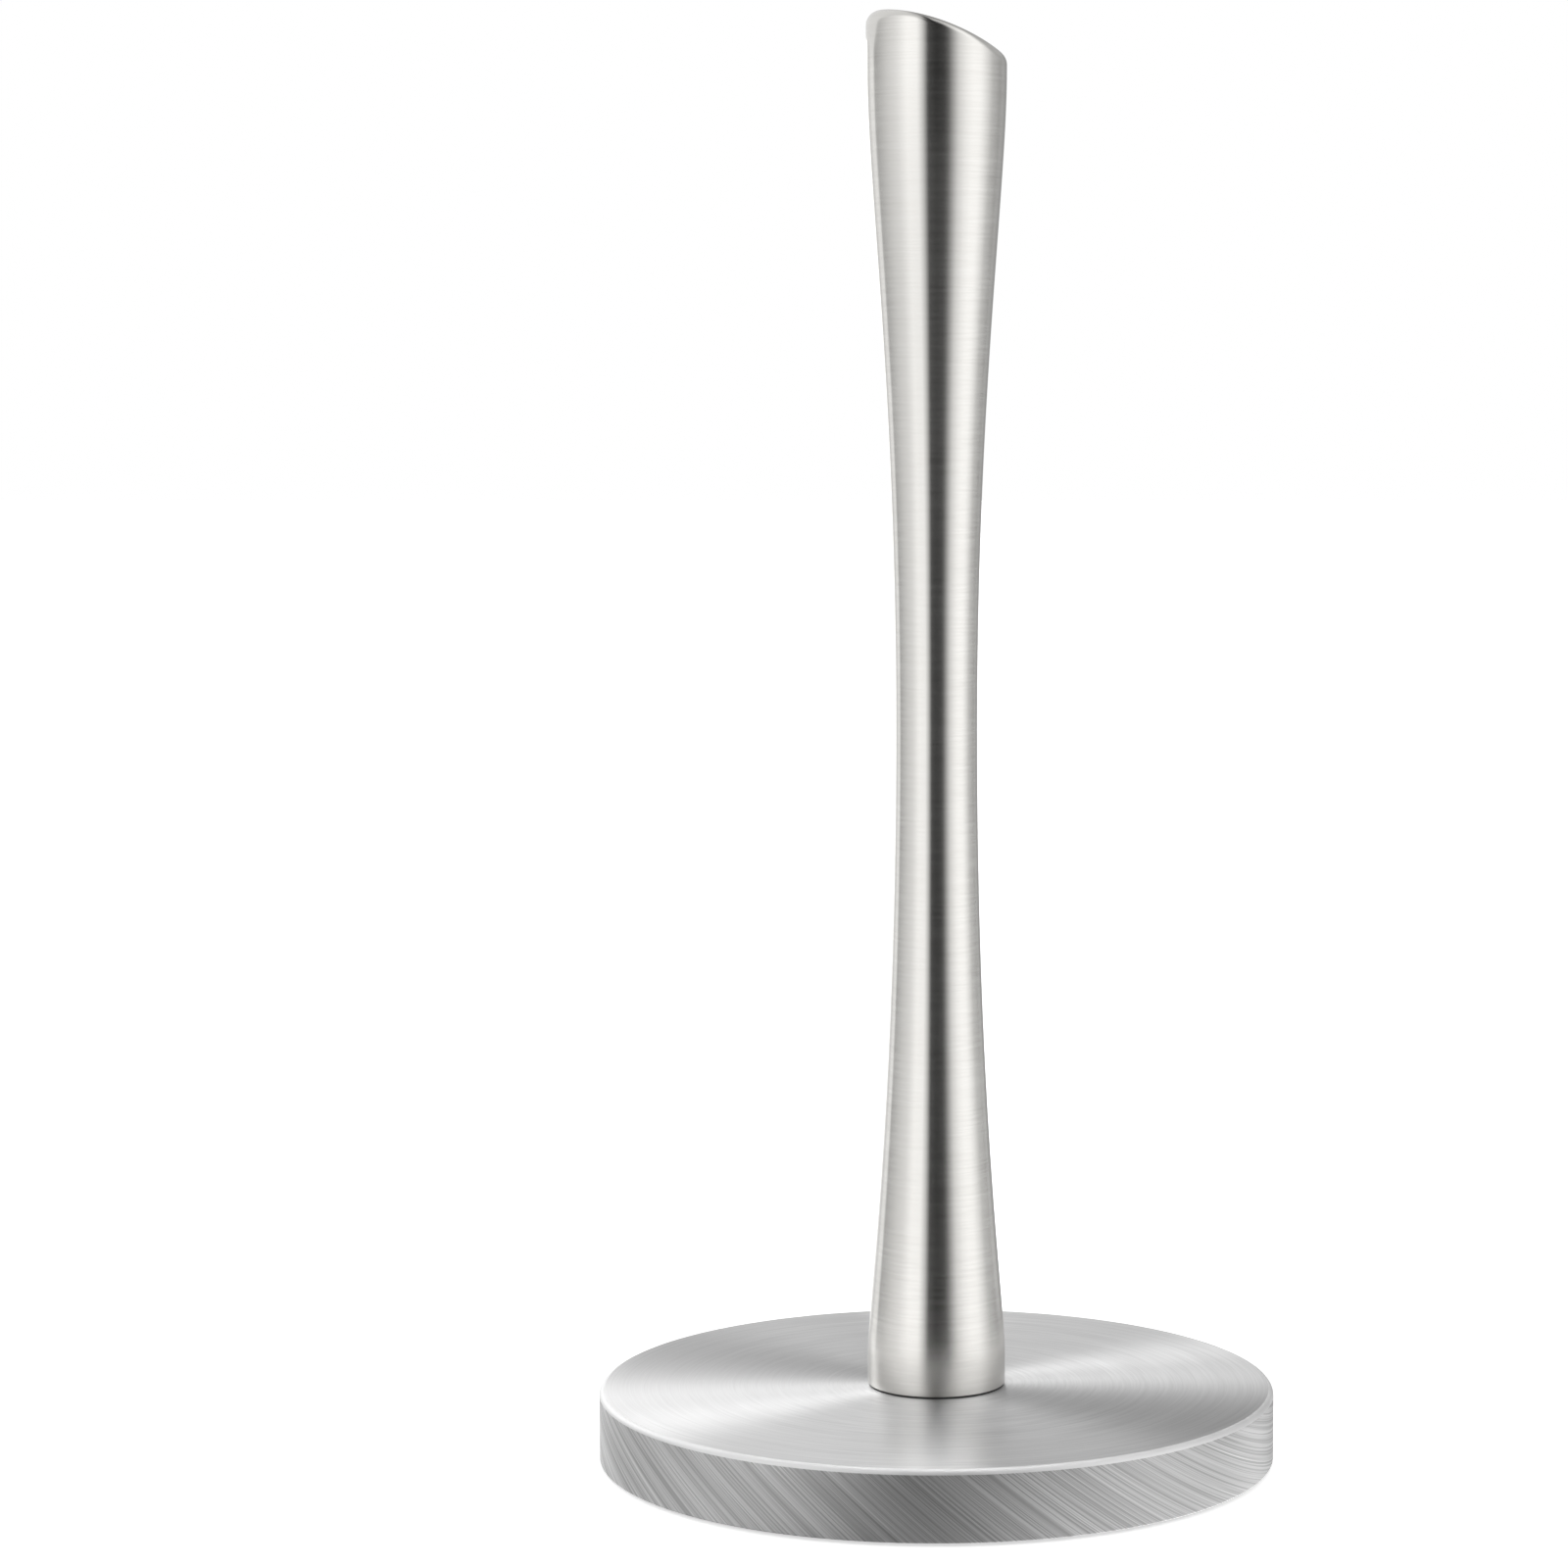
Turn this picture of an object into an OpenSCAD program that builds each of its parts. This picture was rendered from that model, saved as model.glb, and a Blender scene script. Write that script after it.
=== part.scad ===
// Free-standing paper towel holder: a heavy round base with a hollow, waisted steel post.
// The post unscrews from the base on a central bolt. Millimetres, +Z up.
// The origin is on the table, on the post's axis. The post's slanted top is high towards -X.

/* [Overall] */
// Height from the table to the highest point of the post
overall_h = 350.5; // [290:0.5:420]
// Diameter of the base over its steel cover
base_d = 165; // [135:1:200]
// Height of the top of the base above the table
base_h = 18; // [15:0.5:28]

/* [Post] */
// Diameter of the post at its foot and its head
post_d = 33.6; // [30:0.1:42]
// Diameter of the post at its waist
waist_d = 19.7; // [15:0.1:28]
// Height of the waist above the table
waist_h = 180; // [140:1:215]
// Height of the straight band at the foot
foot_band = 8; // [2:0.5:12]
// Wall of the post tube and of its cap
tube_wall = 0.8; // [0.6:0.1:1.2]

/* [Slanted top] */
// Lean of the arched top where the axis meets it, in degrees
slant = 17.7; // [8:0.1:20]
// Radius of the arch, which curves from side to side and is straight from front to back
arch_r = 67; // [50:1:90]
// Radius of the rounded rim at the high and the low end of the top
edge_r = 3.5; // [3:0.5:6]
// Radius of the rounded rim at the front and the back of the top
front_edge_r = 1.4; // [1.2:0.1:3]
// Depth of the lip that locates the cap in the tube
lip_depth = 3; // [1.5:0.5:5]

/* [Post fixing] */
// Nominal diameter of the central bolt
bolt_d = 8; // [6:0.5:10]
// Length of the central bolt under its head
bolt_len = 30; // [28:1:40]
// Thread pitch of the central bolt
bolt_pitch = 1.25; // [1:0.25:1.5]
// Turns of thread that hold the post
thread_turns = 8; // [4:1:9]
// Height of the threaded insert in the foot of the post
insert_h = 16; // [12:1:24]
// Thickness of the flange that the post stands on
ring_flange = 0.5; // [0.4:0.1:1.5]
// How far the foot ring is set back from the face of the post
ring_setback = 0.3; // [0.2:0.1:1]
// Height of the foot ring's spigot above its flange
ring_spigot = 6; // [3:0.5:9]
// Wall of the foot ring's spigot
ring_wall = 1.3; // [1:0.1:2]

/* [Base] */
// Thickness of the base cover
cover_wall = 0.8; // [0.6:0.1:1.2]
// Outer radius of the cover's top edge
cover_edge = 1.5; // [1.2:0.1:3]
// Gap under the rim of the cover
cover_lift = 0.8; // [0.5:0.1:2]
// Radial gap between the ballast and the cover
ballast_gap = 1.7; // [1:0.1:4]
// Height of the base tray, which carries the ballast
tray_h = 4.4; // [3.5:0.1:6]
// Thickness of the floor of the base tray
tray_floor = 2; // [1.5:0.1:3]
// Wall of the tray's rim and of its screw bosses
tray_wall = 2.5; // [1.5:0.1:4]
// Number of ribs under the ballast
rib_count = 12; // [4:4:24]
// Thickness of each rib
rib_t = 1.6; // [1:0.1:3]
// Distance from the screws' centres to the inner edge of the pad
screw_inset = 13; // [7:0.5:16]
// Number of tray screws
screw_count = 4; // [3:1:6]
// Diameter of a tray screw
screw_d = 4; // [3:0.5:5]
// Length of a tray screw
screw_len = 11; // [8:0.5:12]

/* [Pad] */
// Thickness of the non-slip pad
pad_h = 2.8; // [2.5:0.1:4]
// Distance from the edge of the tray to the pad
pad_margin = 3.3; // [1:0.1:10]
// Width of the pad's ring
pad_w = 30; // [15:1:32]
// Depth of the grooves in the pad
groove_depth = 0.6; // [0.3:0.1:1.2]
// Width of each groove
groove_w = 3; // [1:0.5:5]

/* [Fits] */
// Radial clearance of a screw in its tapped hole
thread_gap = 0.05; // [0.02:0.01:0.1]
// Radial clearance of a bolt in a plain hole
bolt_gap = 0.2; // [0.1:0.05:0.6]
// Radial gap of the insert pressed into the tube
press_gap = 0.03; // [0.01:0.01:0.05]
// Radial gap between the cap's lip and the tube
lip_gap = 0.1; // [0.05:0.05:0.3]
// Gap around the countersunk head of a tray screw
sink_gap = 0.05; // [0.02:0.01:0.1]
// Radial gap between the foot ring's spigot and the tube
ring_gap = 0.3; // [0.2:0.05:0.6]
// Radial gap between the tray and the cover
tray_gap = 0.4; // [0.2:0.1:1]
// Gap around the hexagon of the bolt head in its pocket
hex_gap = 0.15; // [0.1:0.05:0.4]

/* [Hidden] */
$fn = 96;

// Shape of the flare: how far each end of a curve stays upright, as a share of its height
foot_hold = 0.07;
waist_hold_low = 0.60;
waist_hold_high = 0.52;
head_hold = 0.18;
// Straight pieces that each half of the flare is drawn with
flare_steps = 28;

// Slanted top. A ball of the rim's radius rolls inside the tube and under the arch.
post_r = post_d / 2;
arch_x = -arch_r * sin(slant);
high_z = overall_h - edge_r;
arch_z = high_z - sqrt(pow(arch_r - edge_r, 2) - pow(post_r - edge_r + arch_x, 2));
low_z = arch_z + sqrt(pow(arch_r - edge_r, 2) - pow(post_r - edge_r - arch_x, 2));
// The seam between tube and cap is a leaning plane just below the rounded rim
seam_drop = 1;
seam_lean = atan((high_z - low_z) / post_d);
seam_z = (high_z + low_z) / 2 - seam_drop;
head_z = low_z - seam_drop;
rim_balls = 36;

// Heights of the stack in the base, upwards from the table
tray_z = pad_h;
ballast_z = tray_z + tray_h;
ballast_h = base_h - cover_wall - ballast_z;
foot_z = base_h + ring_flange;

// Radii in the base, inwards from the cover
cover_bore_r = base_d / 2 - cover_wall;
ballast_r = cover_bore_r - ballast_gap;
tray_r = cover_bore_r - tray_gap;
pad_r = tray_r - pad_margin;
pad_bore_r = pad_r - pad_w;
screw_r = pad_bore_r - screw_inset;

// Hexagons, washers and nut, sized from the bolt
hex_flats = 1.625 * bolt_d;
hex_across = hex_flats / cos(30);
head_h = 0.66 * bolt_d;
nut_h = 0.81 * bolt_d;
washer_od = 2 * bolt_d;
washer_h = 0.2 * bolt_d;
spring_od = 1.85 * bolt_d;
spring_h = 0.25 * bolt_d;
spring_split = 0.2 * bolt_d;
pocket_depth = head_h + 0.7;
head_seat_z = ballast_z + pocket_depth;
bolt_end_z = head_seat_z + bolt_len;
spring_z = base_h + washer_h;
nut_z = spring_z + spring_h;
insert_z = bolt_end_z - thread_turns * bolt_pitch;

// Tray screws, countersunk from below
screw_head_d = 2 * screw_d;
screw_head_h = (screw_head_d - screw_d) / 2;
boss_d = screw_d + 2 * bolt_gap + 2 * tray_wall;
hub_d = hex_across + 2 * tray_wall;

// A little extra that carries a cut past the face it starts from
past = 1;

steel = "#c9c9c7";
dark_steel = "#8f8f8c";
zinc = "#b8bcc0";
iron = "#4a4a4c";
black = "#202022";
rubber = "#2c2c2e";

// Point at t on a curve that starts and ends upright
function flare(t, r0, z0, r1, z1, hold0, hold1) =
    let (s = 1 - t, h = z1 - z0)
    let (low = z0 + hold0 * h, high = z1 - hold1 * h)
    [s * s * (s + 3 * t) * r0 + t * t * (t + 3 * s) * r1,
     s * s * s * z0 + 3 * s * s * t * low + 3 * s * t * t * high + t * t * t * z1];

// Outline of the post from its foot to above its head, drawn in by inset
function post_outline(inset) =
    let (flare_z = base_h + foot_band, n = flare_steps)
    concat(
        [[post_r - inset, foot_z]],
        [for (i = [0:n])
            flare(i / n, post_r, flare_z, waist_d / 2, waist_h, foot_hold, waist_hold_low)
            - [inset, 0]],
        [for (i = [1:n])
            flare(i / n, waist_d / 2, waist_h, post_r, head_z, waist_hold_high, head_hold)
            - [inset, 0]],
        [[post_r - inset, overall_h + past]]);

// Solid of revolution under the post's outline
module post_body(inset) {
    rotate_extrude()
        polygon(concat([[0, foot_z]], post_outline(inset), [[0, overall_h + past]]));
}

// Everything above the leaning seam, moved up by lift
module above_seam(lift) {
    size = 4 * post_d;
    translate([0, 0, seam_z + lift])
        rotate([0, seam_lean, 0])
            translate([-size / 2, -size / 2, 0])
                cube([size, size, size]);
}

// Radius of the rolling ball at angle a
function ball_r(a) = front_edge_r + (edge_r - front_edge_r) * pow(cos(a), 2);

// Height of the rolling ball's centre at angle a
function ball_z(a) =
    arch_z + sqrt(pow(arch_r - ball_r(a), 2) - pow((post_r - ball_r(a)) * cos(a) - arch_x, 2));

// Upright body with the arched, rounded top, drawn in by inset
module arched_body(inset) {
    hull() {
        for (i = [0:rim_balls - 1]) {
            a = 360 * i / rim_balls;
            path_r = post_r - ball_r(a);
            translate([path_r * cos(a), path_r * sin(a), ball_z(a)])
                sphere(r = ball_r(a) - inset, $fn = 28);
        }
        intersection() {
            translate([arch_x, 0, arch_z])
                rotate([90, 0, 0])
                    cylinder(r = arch_r - inset, h = 2 * post_d, center = true, $fn = 360);
            translate([0, 0, arch_z])
                cylinder(r = post_r - edge_r, h = 2 * arch_r);
        }
        translate([0, 0, head_z - post_r])
            cylinder(r = post_r - inset, h = past);
    }
}

// Ring between two radii, from z0 to z1
module ring(r_out, r_in, z0, z1) {
    translate([0, 0, z0])
        difference() {
            cylinder(r = r_out, h = z1 - z0);
            translate([0, 0, -past])
                cylinder(r = r_in, h = z1 - z0 + 2 * past);
        }
}

// Hexagonal prism with its corners turned off at the top, and at the bottom if both is true
module hex_body(z0, h, both) {
    corner = hex_across / 2;
    bevel = corner - 0.475 * hex_flats;
    drop = bevel * tan(30);
    low = both ? drop : 0;
    intersection() {
        translate([0, 0, z0])
            cylinder(r = corner, h = h, $fn = 6);
        translate([0, 0, z0])
            rotate_extrude()
                polygon([[0, 0], [both ? corner - bevel : corner, 0], [corner, low],
                         [corner, h - drop], [corner - bevel, h], [0, h]]);
    }
}

// Repeats its children around the axis, at every tray screw
module at_screws() {
    for (i = [0:screw_count - 1])
        rotate([0, 0, 45 + 360 * i / screw_count])
            translate([screw_r, 0, 0])
                children();
}

// Half section of a round cover with a rounded top edge
module cover_section(r, h, edge) {
    square([r - edge, h]);
    square([r, h - edge]);
    translate([r - edge, h - edge])
        circle(r = edge);
}

// Waisted steel tube, cut off at the leaning seam
module post_tube() {
    color(steel)
        difference() {
            rotate_extrude()
                polygon(concat(post_outline(0), [for (i = [2 * flare_steps + 2:-1:0])
                                                     post_outline(tube_wall)[i]]));
            above_seam(0);
        }
}

// Arched closure of the post, with a lip that locates it in the tube
module top_cap() {
    bore_r = post_r - tube_wall;
    lip_r = bore_r - lip_gap;
    color(steel) {
        difference() {
            intersection() {
                post_body(0);
                arched_body(0);
                above_seam(0);
            }
            arched_body(tube_wall);
        }
        intersection() {
            difference() {
                ring(bore_r + tube_wall / 4, lip_r - tube_wall, seam_z - post_d, high_z);
                above_seam(edge_r / 3);
            }
            above_seam(0);
        }
        difference() {
            intersection() {
                ring(lip_r, lip_r - tube_wall, seam_z - post_d, high_z);
                post_body(tube_wall + lip_gap);
                above_seam(-lip_depth);
            }
            above_seam(edge_r / 3);
        }
    }
}

// Turned plug, pressed into the foot of the tube and tapped for the bolt
module foot_insert() {
    color(dark_steel)
        difference() {
            intersection() {
                post_body(tube_wall + press_gap);
                translate([0, 0, insert_z])
                    cylinder(r = post_r, h = insert_h);
            }
            translate([0, 0, insert_z - past])
                cylinder(r = bolt_d / 2 + thread_gap, h = insert_h + 2 * past);
        }
}

// Nylon ring that keeps the post off the base: a thin flange with a spigot in the tube
module foot_ring() {
    spigot_r = post_r - tube_wall - ring_gap;
    color(black)
        union() {
            ring(post_r - ring_setback, spigot_r - ring_wall, base_h, foot_z);
            ring(spigot_r, spigot_r - ring_wall, base_h, foot_z + ring_spigot);
        }
}

// Bolt that clamps the base together and carries the post
module center_bolt() {
    tip = 0.1 * bolt_d;
    color(zinc)
        union() {
            translate([0, 0, head_seat_z])
                mirror([0, 0, 1])
                    hex_body(0, head_h, false);
            translate([0, 0, head_seat_z])
                cylinder(d = bolt_d, h = bolt_len - tip);
            translate([0, 0, bolt_end_z - tip])
                cylinder(d1 = bolt_d, d2 = bolt_d - 2 * tip, h = tip);
        }
}

module flat_washer() {
    color(zinc)
        ring(washer_od / 2, bolt_d / 2 + bolt_gap, base_h, spring_z);
}

// Split ring that keeps the nut tight
module spring_washer() {
    color(dark_steel)
        difference() {
            ring(spring_od / 2, bolt_d / 2 + bolt_gap, spring_z, nut_z);
            translate([0, 0, spring_z + spring_h / 2])
                rotate([30, 0, 0])
                    translate([0, -spring_split / 2, -spring_h])
                        cube([spring_od, spring_split, 2 * spring_h]);
        }
}

module clamp_nut() {
    color(zinc)
        difference() {
            hex_body(nut_z, nut_h, true);
            translate([0, 0, nut_z - past])
                cylinder(r = bolt_d / 2 + thread_gap, h = nut_h + 2 * past);
        }
}

// Drawn steel cover of the base
module base_cover() {
    skin_h = base_h - cover_lift;
    color(steel)
        difference() {
            rotate_extrude($fn = 192)
                translate([0, cover_lift])
                    difference() {
                        cover_section(base_d / 2, skin_h, cover_edge);
                        translate([0, -past])
                            cover_section(cover_bore_r, skin_h - cover_wall + past,
                                          cover_edge - cover_wall);
                    }
            cylinder(r = bolt_d / 2 + bolt_gap, h = base_h + past);
        }
}

// Cast iron disc with a hexagonal pocket for the bolt head and tapped holes for the tray
module ballast_plate() {
    bevel = cover_edge;
    color(iron)
        difference() {
            translate([0, 0, ballast_z])
                rotate_extrude($fn = 192)
                    polygon([[0, 0], [ballast_r - bevel, 0], [ballast_r, bevel],
                             [ballast_r, ballast_h - bevel], [ballast_r - bevel, ballast_h],
                             [0, ballast_h]]);
            cylinder(r = bolt_d / 2 + bolt_gap, h = base_h);
            translate([0, 0, ballast_z - past])
                cylinder(r = hex_across / 2 + hex_gap, h = pocket_depth + past, $fn = 6);
            at_screws()
                translate([0, 0, ballast_z - past])
                    cylinder(r = screw_d / 2 + thread_gap, h = ballast_h + 2 * past);
        }
}

// Moulded tray that closes the base from below, with ribs and screw bosses under the ballast
module base_tray() {
    shelf_z = tray_z + tray_floor;
    hole_r = screw_d / 2 + bolt_gap;
    color(black)
        difference() {
            union() {
                ring(tray_r, tray_r - 2 * tray_wall, tray_z, ballast_z);
                translate([0, 0, tray_z])
                    cylinder(r = tray_r, h = tray_floor);
                ring(hub_d / 2, hub_d / 2 - tray_wall, shelf_z, ballast_z);
                for (i = [0:rib_count - 1])
                    rotate([0, 0, 360 * i / rib_count])
                        translate([hub_d / 2 - tray_wall / 2, -rib_t / 2, tray_z])
                            cube([tray_r - hub_d / 2, rib_t, ballast_z - tray_z]);
                at_screws()
                    translate([0, 0, tray_z])
                        cylinder(d = boss_d, h = ballast_z - tray_z);
            }
            at_screws() {
                cylinder(r = hole_r, h = base_h);
                translate([0, 0, tray_z])
                    cylinder(r1 = screw_head_d / 2 + sink_gap, r2 = screw_d / 2 + sink_gap,
                             h = screw_head_h);
            }
        }
}

// Countersunk screws that hold the tray to the ballast, with a cross recess
module tray_screws() {
    slot_w = 0.22 * screw_d;
    slot_len = 1.1 * screw_d;
    color(zinc)
        at_screws()
            translate([0, 0, tray_z])
                difference() {
                    union() {
                        cylinder(r1 = screw_head_d / 2, r2 = screw_d / 2, h = screw_head_h);
                        cylinder(d = screw_d, h = screw_len);
                    }
                    for (a = [0, 90])
                        rotate([0, 0, a])
                            translate([-slot_len / 2, -slot_w / 2, -past])
                                cube([slot_len, slot_w, past + screw_head_h * 0.6]);
                }
}

// Soft ring that the holder stands on, with two shallow grooves
module nonslip_pad() {
    land = pad_w / 3;
    color(rubber)
        difference() {
            ring(pad_r, pad_bore_r, 0, pad_h);
            for (r = [pad_bore_r + land, pad_r - land])
                ring(r + groove_w / 2, r - groove_w / 2, -past, groove_depth);
        }
}

post_tube();
top_cap();
foot_insert();
foot_ring();
center_bolt();
flat_washer();
spring_washer();
clamp_nut();
base_cover();
ballast_plate();
base_tray();
tray_screws();
nonslip_pad();
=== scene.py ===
import math

import bpy
import bmesh
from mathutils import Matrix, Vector


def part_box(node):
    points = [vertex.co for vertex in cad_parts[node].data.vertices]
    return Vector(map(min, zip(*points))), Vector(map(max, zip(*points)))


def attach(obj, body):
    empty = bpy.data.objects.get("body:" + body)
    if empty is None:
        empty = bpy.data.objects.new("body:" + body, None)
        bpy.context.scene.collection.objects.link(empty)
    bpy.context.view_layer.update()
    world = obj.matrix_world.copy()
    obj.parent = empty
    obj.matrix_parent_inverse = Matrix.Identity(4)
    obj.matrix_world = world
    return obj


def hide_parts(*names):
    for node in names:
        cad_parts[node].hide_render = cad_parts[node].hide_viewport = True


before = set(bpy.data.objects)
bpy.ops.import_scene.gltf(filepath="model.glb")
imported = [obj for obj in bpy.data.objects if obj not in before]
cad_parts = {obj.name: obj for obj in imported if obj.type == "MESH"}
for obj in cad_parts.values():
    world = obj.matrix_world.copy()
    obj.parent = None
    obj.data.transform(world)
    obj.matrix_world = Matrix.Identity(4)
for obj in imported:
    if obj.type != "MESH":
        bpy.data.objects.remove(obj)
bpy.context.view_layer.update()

MM = 0.001
TURN = 2 * math.pi

# ---------------------------------------------------------------- sizes, from the frame

COVER_LOW, COVER_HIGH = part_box("base_cover")
BASE_R = COVER_HIGH.x
BASE_TOP = COVER_HIGH.z
TUBE_LOW, TUBE_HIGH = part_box("post_tube")
POST_R = TUBE_HIGH.x
FOOT_Z = TUBE_LOW.z
POST_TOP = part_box("top_cap")[1].z

# Sizes that a box can't give, as in the CAD source
SHEET = 0.8 * MM
COVER_EDGE_R = 1.5 * MM
WAIST_R = 9.85 * MM
WAIST_Z = 180 * MM
FOOT_BAND = 8 * MM
FOOT_HOLD, WAIST_HOLD_LOW, WAIST_HOLD_HIGH, HEAD_HOLD = 0.07, 0.60, 0.52, 0.18
SLANT = math.radians(17.7)
ARCH_R = 67 * MM
RIM_R = 3.5 * MM
FRONT_RIM_R = 1.4 * MM
LIP_DEPTH = 3 * MM
LIP_GAP = 0.1 * MM
SEAM_DROP = 1 * MM
BOLT_R = 4 * MM
BOLT_LENGTH = 30 * MM
BOLT_PITCH = 1.25 * MM
BOLT_GAP = 0.2 * MM
THREAD_GAP = 0.05 * MM
GROOVE_DEPTH = 0.6 * MM
GROOVE_W = 3 * MM
SCREW_R = 2 * MM
SCREW_PITCH = 0.7 * MM
# Radius of the round face of a bolt head or nut, as a share of its width across flats
HEX_FACE = 0.475

# The slanted top: a ball of the rim's radius rolls inside the post and under the arch
ARCH_X = -ARCH_R * math.sin(SLANT)
HIGH_Z = POST_TOP - RIM_R
ARCH_Z = HIGH_Z - math.sqrt((ARCH_R - RIM_R) ** 2 - (POST_R - RIM_R + ARCH_X) ** 2)
LOW_Z = ARCH_Z + math.sqrt((ARCH_R - RIM_R) ** 2 - (POST_R - RIM_R - ARCH_X) ** 2)
SEAM_SLOPE = (HIGH_Z - LOW_Z) / (2 * POST_R)
SEAM_Z = (HIGH_Z + LOW_Z) / 2 - SEAM_DROP
HEAD_Z = LOW_Z - SEAM_DROP

# ---------------------------------------------------------------- mesh helpers


def ring(r, z, n):
    """A level circle of n points."""
    return [(r * math.cos(TURN * i / n), r * math.sin(TURN * i / n), z) for i in range(n)]


def shaped_ring(n, place):
    """A closed ring of n points, where place(angle) gives (radius, height)."""
    points = []
    for i in range(n):
        a = TURN * i / n
        r, z = place(a)
        points.append((r * math.cos(a), r * math.sin(a), z))
    return points


def skin(name, rings, closed, crease=40):
    """One mesh through a row of rings. A ring of one point is a pole. Closed joins last to first."""
    mesh = bpy.data.meshes.new(name)
    bm = bmesh.new()
    rows = [[bm.verts.new(p) for p in points] for points in rings]
    pairs = list(zip(rows, rows[1:] + rows[:1])) if closed else list(zip(rows, rows[1:]))
    for low, high in pairs:
        n = max(len(low), len(high))
        for i in range(n):
            j = (i + 1) % n
            if len(low) == 1:
                corners = [low[0], high[j], high[i]]
            elif len(high) == 1:
                corners = [low[i], low[j], high[0]]
            else:
                corners = [low[i], low[j], high[j], high[i]]
            bm.faces.new(corners)
    bmesh.ops.recalc_face_normals(bm, faces=bm.faces)
    bm.to_mesh(mesh)
    bm.free()
    mesh.shade_smooth()
    mesh.set_sharp_from_angle(angle=math.radians(crease))
    obj = bpy.data.objects.new(name, mesh)
    bpy.context.scene.collection.objects.link(obj)
    return obj


def rounded(corners, steps=6):
    """A closed outline from corners (radius, height, fillet), with each fillet drawn as an arc."""
    points = []
    count = len(corners)
    for i, (x, z, fillet) in enumerate(corners):
        here = Vector((x, z))
        back = Vector(corners[i - 1][:2]) - here
        ahead = Vector(corners[(i + 1) % count][:2]) - here
        if fillet <= 0:
            points.append(here)
            continue
        half = back.angle(ahead) / 2
        reach = fillet / math.tan(half)
        start = here + back.normalized() * reach
        end = here + ahead.normalized() * reach
        centre = here + (back.normalized() + ahead.normalized()).normalized() * (fillet / math.sin(half))
        first, last = start - centre, end - centre
        sweep = first.angle_signed(last)
        for k in range(steps + 1):
            a = -sweep * k / steps
            points.append(centre + Vector((first.x * math.cos(a) - first.y * math.sin(a),
                                           first.x * math.sin(a) + first.y * math.cos(a))))
    return points


def lathe(name, corners, n, steps=6, crease=40):
    """A closed ring-shaped solid turned about the Z axis from a rounded outline."""
    return skin(name, [ring(p.x, p.y, n) for p in rounded(corners, steps)], True, crease)


def thread_rings(r_inside, r_outside, pitch, z0, z1, n, steps=12):
    """Rings of a right-hand thread with flanks and flat crests, which fades out at both ends."""
    rings = []
    rows = max(2, round((z1 - z0) / pitch * steps))
    for k in range(rows + 1):
        z = z0 + (z1 - z0) * k / rows
        fade = min(1, k / steps, (rows - k) / steps)

        def place(a, z=z, fade=fade):
            phase = (z / pitch - a / TURN) % 1
            height = min(1, max(0, 1.35 - 3.2 * abs(phase - 0.5)))
            return r_inside + (r_outside - r_inside) * height * fade, z

        rings.append(shaped_ring(n, place))
    return rings


# ---------------------------------------------------------------- shape of the post


def flare(t, r0, z0, r1, z1, hold0, hold1):
    """Point at t on a curve that starts and ends upright."""
    s, h = 1 - t, z1 - z0
    r = s * s * (s + 3 * t) * r0 + t * t * (t + 3 * s) * r1
    z = s ** 3 * z0 + 3 * s * s * t * (z0 + hold0 * h) + 3 * s * t * t * (z1 - hold1 * h) + t ** 3 * z1
    return r, z


def post_radius(z):
    """Outer radius of the post at a height."""
    flare_z = BASE_TOP + FOOT_BAND
    if z <= flare_z or z >= HEAD_Z:
        return POST_R
    if z < WAIST_Z:
        curve = (POST_R, flare_z, WAIST_R, WAIST_Z, FOOT_HOLD, WAIST_HOLD_LOW)
    else:
        curve = (WAIST_R, WAIST_Z, POST_R, HEAD_Z, WAIST_HOLD_HIGH, HEAD_HOLD)
    low, high = 0.0, 1.0
    for _ in range(30):
        middle = (low + high) / 2
        if flare(middle, *curve)[1] < z:
            low = middle
        else:
            high = middle
    return flare((low + high) / 2, *curve)[0]


def seam_height(r, a):
    """Height of the leaning seam at a radius and angle."""
    return SEAM_Z - SEAM_SLOPE * r * math.cos(a)


def rim_ball(a):
    """Radius and centre of the ball that rolls under the rim, at an angle."""
    r = FRONT_RIM_R + (RIM_R - FRONT_RIM_R) * math.cos(a) ** 2
    x, y = (POST_R - r) * math.cos(a), (POST_R - r) * math.sin(a)
    return r, Vector((x, y, ARCH_Z + math.sqrt((ARCH_R - r) ** 2 - (x - ARCH_X) ** 2)))


def top_rings(inset, n, rim_steps, top_steps):
    """Rings over the rounded rim and the arched top, from the upright wall to the middle point."""
    balls = [rim_ball(TURN * i / n) for i in range(n)]
    walls = [Vector((math.cos(TURN * i / n), math.sin(TURN * i / n), 0)) for i in range(n)]
    tops = [Vector((c.x - ARCH_X, 0, c.z - ARCH_Z)).normalized() for _, c in balls]
    rings = []
    for k in range(rim_steps + 1):
        t = k / rim_steps
        rings.append([tuple(c + (r - inset) * w.slerp(d, t)) for (r, c), w, d in zip(balls, walls, tops)])
    edge = [Vector(p) for p in rings[-1]]
    middle = (edge[0] + edge[n // 2]) / 2

    def on_arch(point):
        return point.x, point.y, ARCH_Z + math.sqrt((ARCH_R - inset) ** 2 - (point.x - ARCH_X) ** 2)

    for k in range(1, top_steps):
        rings.append([on_arch(p.lerp(middle, k / top_steps)) for p in edge])
    rings.append([on_arch(middle)])
    return rings


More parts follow.
